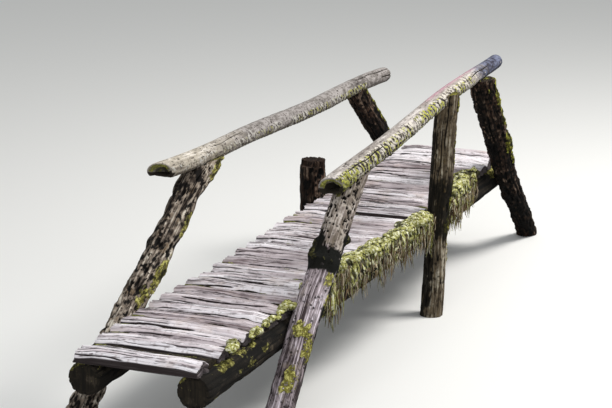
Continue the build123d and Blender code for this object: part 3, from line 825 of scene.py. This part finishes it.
def dressDeckLog(number, node, tone, drop, topCount, rows):
    # Loop round the section: up one side, over the crown, down the other side, back underneath
    low, high = [np.array(corner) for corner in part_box(node)]
    seed = 120 + 7 * number
    (width, length, top), middle = high - low, 0.5 * (high[0] + low[0])
    edge, halfWidth = 0.59 * top, 0.5 * width
    sides, under = 5, 9
    crown = np.linspace(-1, 1, topCount)
    crown = np.sign(crown) * np.abs(crown) ** 0.92
    climb = np.linspace(0.04, 0.92, sides)
    loop = np.array([
        np.concatenate([np.full(sides, -1.0), crown, np.full(sides, 1.0), np.linspace(1, -1, under + 2)[1:-1]]),
        np.concatenate([climb, np.ones(topCount), climb[::-1], np.zeros(under)]),
        np.concatenate([np.zeros(sides), np.ones(topCount), np.zeros(sides + under)])])
    share = np.linspace(0, 1, rows)[:, None] + 0 * loop[:1]
    across, rise, isTop = loop[:, None] + 0 * share
    y = low[1] + length * share
    fromEnd = np.minimum(y - low[1], high[1] - y)
    grain = joined(across * halfWidth + seed, rise * 0.08, y)
    bumps = noiseOn(grain, seed)
    facets = bumps((11, 6, 0.9))
    strips = bumps((46, 12, 1.6), 3)
    fibre = bumps((130, 60, 4), 6)
    lines, level, lineTone = splitLines(across, y, halfWidth, seed, 6, length)
    hairs = cracks(grain * (60, 12, 1.6), seed + 15, 0.4) ** 2 * clampStep(bumps((20, 10, 2.4), 17), -0.4, 0.3)
    worn = clampStep(0.16 - fromEnd, 0, 0.16) * (0.5 + 0.5 * bumps((12, 8, 1), 19))
    # Crown: edge + (top - edge)(1 - |a|^2.6) for a from -1 to 1, lowered by facets, strips, splits and wear
    height = (edge + (top - edge) * (1 - np.abs(across) ** 2.6) - 0.006 - drop * (1 - 0.5 * across)
              - 0.005 * np.clip(facets + 0.3, 0, 2) - 0.004 * np.clip(strips, -0.6, 1) - 0.001 * fibre
              + level - lines - 0.007 * hairs - 0.03 * np.clip(worn, 0, 1))
    height = np.minimum(height, top - margin)
    sideHeight = rise * np.minimum(edge, height[:, sides:sides + 1]) * 0.99
    inset = 0.005 + 0.004 * np.clip(bumps((10, 30, 4), 21) + 0.5, 0, 2)
    x = middle + across * (halfWidth - inset) + 0.003 * np.sin(3.1 * share * np.pi + seed)
    # Ragged ends: each fibre strip stops at its own place
    lowEnd, highEnd = [0.002 + 0.02 * np.clip(layered(grain[:1] * (32, 20, 0), seed + step, 3) + 0.2, 0, 2)
                       for step in (24, 27)]
    y = blend((low[1] + lowEnd, high[1] - highEnd), share)
    points = joined(x, y, low[2] + np.where(isTop > 0, height, sideHeight))
    # Painted shade on the log sides and crown edges that face the gaps between logs, and in the splits and hairline
    # cracks
    cavityShade = np.maximum(lines / 0.009, 0.35 * hairs) * isTop + (1 - isTop) * 0.35
    cavityShade = np.maximum(cavityShade, 0.55 * clampStep(np.abs(across), 0.93, 1.0))
    # Painted shade on the near side of log 20, which faces the wide gap
    if number == wideGapNumber:
        cavityShade = np.maximum(cavityShade, 1.6 * clampStep(-across, 0.62, 0.8) * clampStep(0.4 - y, 0.0, 0.3))
    patches = layered(joined(x * 3, y * 4, 3.3), 6, 3)
    fringe = clampStep(-y, 0.38, 0.52) * clampStep(x, -1.6, -1.2)
    moss = clampStep(patches + 0.7 * np.abs(across) ** 8 - 0.6 + 0.5 * fringe, 0.1, 0.6) * isTop * 0.8
    moss = np.maximum(moss, 0.75 * clampStep(patches + 1.5 * fringe, 1.0, 1.5))
    # Damp together with painted shade: the sides darkened as painted shade in the gaps, with damp patches and damp ends
    dampAndShade = (1 - isTop) * 0.8 + 0.25 * clampStep(patches, 0.1, 0.8) + 0.25 * clampStep(0.1 - fromEnd, 0, 0.1)
    marks = joined(cavityShade, moss, dampAndShade, tone + 0.1 * strips - 0.05 * facets + lineTone)
    folds = [(0.82, 1, 0.82), (0.5, 1, 0.5), (0.2, 1, 0.2)]
    nearRings, farRings = foldRings(points[0], folds)[::-1], foldRings(points[-1], folds)
    for rings, way in ((nearRings, 1), (farRings, -1)):
        rings[..., 1] += way * np.maximum(0, 0.004 * layered(rings * (60, 0, 60), seed + 30, 2))
    nearGrain, farGrain = grain[[0] * len(folds)], grain[[-1] * len(folds)]
    nearGrain[..., 1] += nearRings[..., 2]
    farGrain[..., 1] += farRings[..., 2]
    capMarks = 0 * nearRings[..., :1] + (0.45, 0.1, 0.4, 0.4)
    fields = {"grain": (nearGrain, grain, farGrain), "marks": (capMarks, marks, capMarks)}
    ringMesh(f"deckLog{number:02d}", (nearRings, points, farRings), fields, deckWood, node, "deck_wood")


logTones = np.random.default_rng(5).uniform(0.5, 0.7, deckCount)
logDrops = np.random.default_rng(8).uniform(0.0, 0.010, deckCount)
logDrops[wideGapNumber - 2] = 0.02
for number, tone, drop in zip(range(1, deckCount + 1), logTones, logDrops):
    topCount, rows = (52, 84) if number <= nearCount else (38, 72)
    dressDeckLog(number, f"deck_log_{number:02d}", tone, drop, topCount, rows)
print("deck made")


# Moss mat, hanging dead strands, cushions of moss and soil in the gaps

matLook = dict(
    fibreStretch=(90.0, 90.0, 14.0), strandStretch=(34.0, 34.0, 7.0), fibreContrast=1.6, strandContrast=1.6,
    blotchScale=14.0, speckScale=40.0, groove=(30, 24, 12), grooveShare=0.6, grooveWidth=0.04,
    dark=(26, 20, 10), middle=(138, 116, 80), pale=(240, 226, 190), stain=(84, 74, 36), stainShare=0.5,
    speck=(30, 24, 12), speckShare=0.7, dampAndShade=(30, 25, 14), dampAndShadeShare=0.5, hollowShade=(14, 12, 5),
    mossDark=(20, 17, 6), moss=(184, 182, 104), mossPale=(254, 252, 222), bump=1.0, rough=0.95)
matWood = woodShader("mossMatSurface", matLook)
strandWood = woodShader("deadStrandSurface", dict(
    matLook, dark=(84, 58, 40), middle=(178, 152, 118), pale=(244, 230, 202), hollowShade=(52, 38, 24)))
soilWood = woodShader("soilSurface", dict(
    matLook, dark=(34, 27, 20), middle=(66, 54, 40), pale=(110, 96, 74), hollowShade=(18, 14, 10),
    mossDark=(52, 52, 26), moss=(98, 98, 44), mossPale=(156, 158, 88)))


def deckEdge(x):
    # Right edge of the deck: reach plus bulge e^(-((x - 0.65) / 1.2)^4)
    return -(0.484 + 0.112 * np.exp(-((x - 0.65) / 1.2) ** 4))


def lineNoise(x, scale, offset, seed):
    return layered(joined(x * scale, offset, 0), seed, 3)


def mossMat(name, start, finish, drops, rows, around=44):
    # Rounded loop over the deck edge: up over the log ends, down to the drop, back behind the ends
    x = np.linspace(start, finish, rows)
    edge = deckEdge(x) + 0.026 * lineNoise(x, 7, 0, 301) + 0.008
    bottom = np.interp(x, *zip(*drops)) + 0.05 * lineNoise(x, 9, 4, 305)
    middle = 0.5 * (0.88 + bottom)
    out = np.array([0.12, 0.1, 0.05, -0.005, -0.032, -0.04, -0.034, -0.018, -0.002, 0.012, 0.03, 0.1])
    y = out[:, None] + edge
    y[:2] += 0.02 * lineNoise(x, 5, 9, 309)
    z = [0.875, 0.9, 0.917, 0.915, 0.885, middle, bottom + 0.03, bottom, bottom + 0.03, middle, 0.82, 0.85]
    loop = np.stack([y, [level + 0 * x for level in z]], 1)  # corners, (y, z), rows
    places = np.arange(around) * len(loop) / around
    low = np.floor(places).astype(int)
    part = (places - low)[:, None, None]
    a, b, c, d = [loop[(low + step) % len(loop)] for step in (-1, 0, 1, 2)]
    curve = 0.5 * (2 * b + (c - a) * part + (2 * a - 5 * b + 4 * c - d) * part ** 2
                   + (3 * b - a - 3 * c + d) * part ** 3)
    points = joined(x[:, None], curve[:, 0].T, curve[:, 1].T)
    close = np.minimum(x - start, finish - x)[:, None, None] / 0.12
    core = points.mean(1, keepdims=True)
    points = core + (points - core) * np.sqrt(np.clip(close, 0.02, 1))
    # Swollen along its own normals, the cross product of the steps around and along
    normal = np.cross(np.roll(points, -1, 1) - np.roll(points, 1, 1), np.gradient(points, axis=0))
    normal /= np.linalg.norm(normal, axis=-1, keepdims=True) + 1e-9
    outward = np.sign(np.einsum("ijk,ijk->", normal, points - core))
    clumps = layered(points * 17.0, 311, 3)
    tufts = layered(points * 52.0, 315, 2)
    hanging = layered(points * (48, 48, 6), 318, 2)
    low = clampStep(0.86 - points[..., 2], 0, 0.08)
    swell = 0.021 * clumps + 0.013 * tufts + 0.010 * hanging * low + 0.002
    points = points + normal * outward * swell[..., None]
    points[..., 1] = np.maximum(points[..., 1], wholeLow[1] + 0.002)
    green = 0.75 + 0.5 * clumps - 0.75 * low * clampStep(layered(points * 9.0, 321, 2), -0.5, 0.3)
    # Painted shade in the hollows under hanging strands and between tufts
    hollowShade = 0.9 * clampStep(-hanging, 0.05, 0.45) * low + clampStep(-tufts, 0.05, 0.4)
    # Painted shade low down and in the troughs between clumps
    shaded = 0.4 * low + 1.6 * clampStep(-clumps, 0.02, 0.28)
    marks = joined(hollowShade, green + 0.3 * shaded, shaded, 0.45 + 0.4 * hanging)
    ringMesh(name, [points], {"grain": [points * (1, 1, 0.45)], "marks": [marks]}, matWood)


def repeated(shape, count, each):
    # The same faces for every one of many like pieces, each with its own run of points
    return (shape + np.arange(count)[:, None, None] * each).reshape(-1, shape.shape[-1])


def hangingPaths(count, start, finish, seed, lengths, thickness=1, steps=6):
    # Each strand drops from the mat and wanders sideways with a slow sine
    pick = np.random.default_rng(seed)
    x = pick.uniform(start, finish, (count, 1))
    reach = pick.uniform(*lengths, (count, 1)) * (0.6 + 0.4 * np.abs(np.sin(7 * x)))
    top = pick.uniform(0.72, 0.9, (count, 1))
    y = deckEdge(x) - pick.uniform(0.012, 0.05, (count, 1))
    down = np.linspace(0, 1, steps)
    swing = pick.uniform(-0.03, 0.03, (count, 1)) * down ** 1.5
    paths = joined(x + swing + 0.006 * np.sin(9 * down + x * 40),
                   y + 0.01 * np.sin(5 * down + x * 23) * down, top - reach * down)
    paths[..., 1] = np.maximum(paths[..., 1], wholeLow[1] + 0.005)
    radii = thickness * pick.uniform(0.0022, 0.0055, (count, 1)) * (1 - 0.75 * down ** 2)
    marks = joined(pick.uniform(0, 0.5, count), pick.uniform(-0.4, 0.9, count), 0.1,
                   pick.uniform(0.15, 0.95, count))
    return paths, radii, marks


def manyTubes(name, paths, radii, marks, material, sides=4):
    # Thin closed tubes: square sections about each path, closed at both ends
    count, steps, _ = paths.shape
    along = np.gradient(paths, axis=1)
    along /= np.linalg.norm(along, axis=-1, keepdims=True) + 1e-9
    helper = np.where(np.abs(along[..., 2:]) > 0.8, (1.0, 0.0, 0.0), (0.0, 0.0, 1.0))
    side = np.cross(along, helper)
    side /= np.linalg.norm(side, axis=-1, keepdims=True) + 1e-9
    turn = turns(sides).reshape(sides, 1)
    spread = side[:, :, None] * np.cos(turn) + np.cross(along, side)[:, :, None] * np.sin(turn)
    points = (paths[:, :, None] + radii[:, :, None, None] * spread).reshape(-1, 3)
    here = np.arange(sides)
    quads = np.concatenate([ringFaces(steps, sides)[0], [here[::-1], (steps - 1) * sides + here]])
    each = steps * sides
    makeMesh(name, points, repeated(quads, count, each), np.zeros((0, 3), int),
             {"grain": points * (1, 1, 0.3), "marks": np.repeat(marks, each, 0)}, material)


def manyLumps(name, centres, sizes, marks, material, seed, rows=11, around=18):
    # Closed lumps: unit ball grid times size, swollen by clumpy noise
    polar = np.linspace(0.12, np.pi - 0.12, rows)[:, None]
    turn = turns(around)
    ball = joined(np.sin(polar) * np.cos(turn), np.sin(polar) * np.sin(turn), np.cos(polar))
    centres, reach = centres[:, None, None], ball * sizes[:, None, None]
    bumps = noiseOn(centres + reach, seed)
    points = centres + reach * (1 + 0.35 * bumps(28) + 0.2 * bumps(80, 3))[..., None]
    points[..., 1] = np.clip(points[..., 1], wholeLow[1] + 0.002, wholeHigh[1] - 0.002)
    poles = np.stack([points[:, 0].mean(1), points[:, -1].mean(1)], 1)
    count, each = len(points), rows * around + 2
    points = np.concatenate([points.reshape(count, -1, 3), poles], 1).reshape(-1, 3)
    quads, caps = [repeated(shape, count, each) for shape in ringFaces(rows, around)]
    marks = np.repeat(marks, each, 0)
    marks[:, 1] += 0.3 * layered(points * 30.0, seed + 6, 2)
    makeMesh(name, points, quads, caps, {"grain": points, "marks": marks}, material)


mossMat("mossMatNear", -1.62, 0.9, [(-1.6, 0.78), (-1.25, 0.64), (-1.0, 0.6), (-0.8, 0.69), (-0.5, 0.7),
                                    (-0.2, 0.76), (0.4, 0.78), (0.94, 0.8)], 190)
mossMat("mossMatFar", 1.17, 2.42, [(1.17, 0.78), (1.5, 0.74), (1.8, 0.72), (2.1, 0.8), (2.42, 0.86)], 110)
strandGroups = (hangingPaths(620, -1.45, 0.84, 401, (0.06, 0.2)), hangingPaths(380, 1.22, 2.3, 405, (0.06, 0.22)),
                hangingPaths(26, -1.25, -0.9, 409, (0.22, 0.36), 1.6))
manyTubes("deadStrands", *[np.concatenate(parts) for parts in zip(*strandGroups)], strandWood)
pick = np.random.default_rng(411)
largeLumps = 12
lumpX = np.concatenate([pick.uniform(*span) for span in ((-2.95, -1.9, 16), (-1.5, 0.8, 34), (1.22, 2.4, 14),
                                                         (0.3, 0.72, largeLumps))])
lumps = len(lumpX)
lumpY = deckEdge(lumpX) + pick.uniform(-0.035, 0.03, lumps)
lumpZ = np.where(lumpX < -1.7, 0.875, 0.905) + pick.uniform(-0.02, 0.012, lumps)
lumpSize = pick.uniform(0.02, 0.05, (lumps, 1)) * (1.3, 0.9, 0.6)
lumpSize[-largeLumps:] *= 1.5
lumpMarks = joined(pick.uniform(0, 0.3, lumps), pick.uniform(0.7, 1.0, lumps), pick.uniform(0, 0.8, lumps), 0.5)
manyLumps("mossCushions", joined(lumpX, lumpY, lumpZ), lumpSize, lumpMarks, matWood, 415)


def soilSeam(name, number, x, half, low, high, floorLevel, topLevel, rows=46, around=12):
    # Flattened tube of crumbly soil along a gap, its top raised and dropped by noise
    y = np.linspace(low, high, rows)[:, None]
    turn = turns(around)
    points = joined(x + half * np.cos(turn), y, blend((floorLevel, topLevel), 0.5 + 0.5 * np.sin(turn)))
    lift = 0.012 * layered(joined(points[..., 0] * 8, points[..., 1] * 7, number), 501, 2)
    crumbs = 0.006 * layered(points * 60.0, 503, 2)
    points[..., 2] += (lift + crumbs) * clampStep(np.sin(turn), 0, 0.6)
    points[..., 0] += 0.004 * layered(points * 40.0, 505, 2)
    patches = layered(joined(points[..., 0] * 2, points[..., 1] * 5, 2.2), 507, 3)
    green = clampStep(patches + 0.25 * clampStep(points[..., 0], -1.6, 0.5), -0.1, 0.5)
    marks = joined(0.2, green, 0.5, 0.3 + 0.2 * patches)
    ringMesh(name, [points], {"grain": [points], "marks": [marks]}, soilWood)


bedLevels, seamLevels = (0.797, 0.845), (0.8, 0.858)
spans = [np.array(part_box(f"deck_log_{number:02d}")) for number in range(1, deckCount + 1)]
for number, (near, far) in enumerate(zip(spans, spans[1:])):
    gapMiddle = 0.5 * (near[1][0] + far[0][0])
    gapHalf = 0.5 * (far[0][0] - near[1][0])
    low = max(near[0][1], far[0][1]) + 0.02
    high = min(near[1][1], far[1][1]) - 0.02
    if number == 0:
        soilSeam("soilBed", number, gapMiddle, gapHalf + 0.004, low, high, *bedLevels, 60, 24)
    elif number != wideGapNumber - 2:
        soilSeam(f"soilSeam{number:02d}", number, gapMiddle, gapHalf + 0.012, low, high, *seamLevels)
print("moss and soil made")


# Camera of the photograph, pale floor and soft light

def place(name, data):
    item = bpy.data.objects.new(name, data)
    bpy.context.scene.collection.objects.link(item)
    return item


cameraData = bpy.data.cameras.new("photoCamera")
cameraData.lens = 130.095
cameraData.sensor_width = 36.0
cameraData.clip_end = 200.0
photoCamera = place("photoCamera", cameraData)
cameraPlace = (-15.8453, -6.3506, 5.6029)
yaw, tilt, roll = math.radians(22.3516), math.radians(14.719), math.radians(-0.1549)
# Looks along the yaw, tilted down, then rolled about its view
view = np.array([math.cos(yaw) * math.cos(tilt), math.sin(yaw) * math.cos(tilt), -math.sin(tilt)])
right = np.array([math.sin(yaw), -math.cos(yaw), 0.0])
up = np.cross(right, view)
turned = Matrix.Identity(4)
columns = (math.cos(roll) * right + math.sin(roll) * up, math.cos(roll) * up - math.sin(roll) * right, -view,
           cameraPlace)
for row in range(3):
    turned[row] = [column[row] for column in columns]
photoCamera.matrix_world = turned
bpy.context.scene.camera = photoCamera

floorShader = Shader("floorPlain")
rays = floorShader.add("ShaderNodeLightPath", {})
floorShader.set({"Base Color": floorShader.mix(rays, tint(150, 150, 148), tint(243, 242, 239)), "Roughness": 1.0,
                 "Specular IOR Level": 0.0})
floorMesh = bpy.data.meshes.new("floor")
floorMesh.from_pydata([(-60, -60, 0), (90, -60, 0), (90, 90, 0), (-60, 90, 0)], [], [(0, 1, 2, 3)])
floorMesh.materials.append(floorShader.material)
floor = place("floor", floorMesh)
floor.location.z = -0.0006

aim = Vector((0, 0, 0.8))
for name, corner, size, power, colour in (("keyLight", (5.0, -5.5, 10.0), 4.0, 1150.0, (1.0, 0.985, 0.96)),
                                          ("fillLight", (-9.0, -3.0, 6.0), 7.0, 360.0, (0.94, 0.97, 1.0))):
    lightData = bpy.data.lights.new(name, "AREA")
    lightData.size, lightData.energy, lightData.color = size, power, colour
    light = place(name, lightData)
    light.location = corner
    light.rotation_euler = (aim - Vector(corner)).to_track_quat("-Z", "Y").to_euler()
world = bpy.data.worlds.new("softWorld")
world.use_nodes = True
sky = world.node_tree.nodes["Background"]
sky.inputs[0].default_value = (0.95, 0.98, 1.0, 1.0)
sky.inputs[1].default_value = 0.45
bpy.context.scene.world = world
bpy.context.scene.view_settings.view_transform = "Standard"
print("stage made")
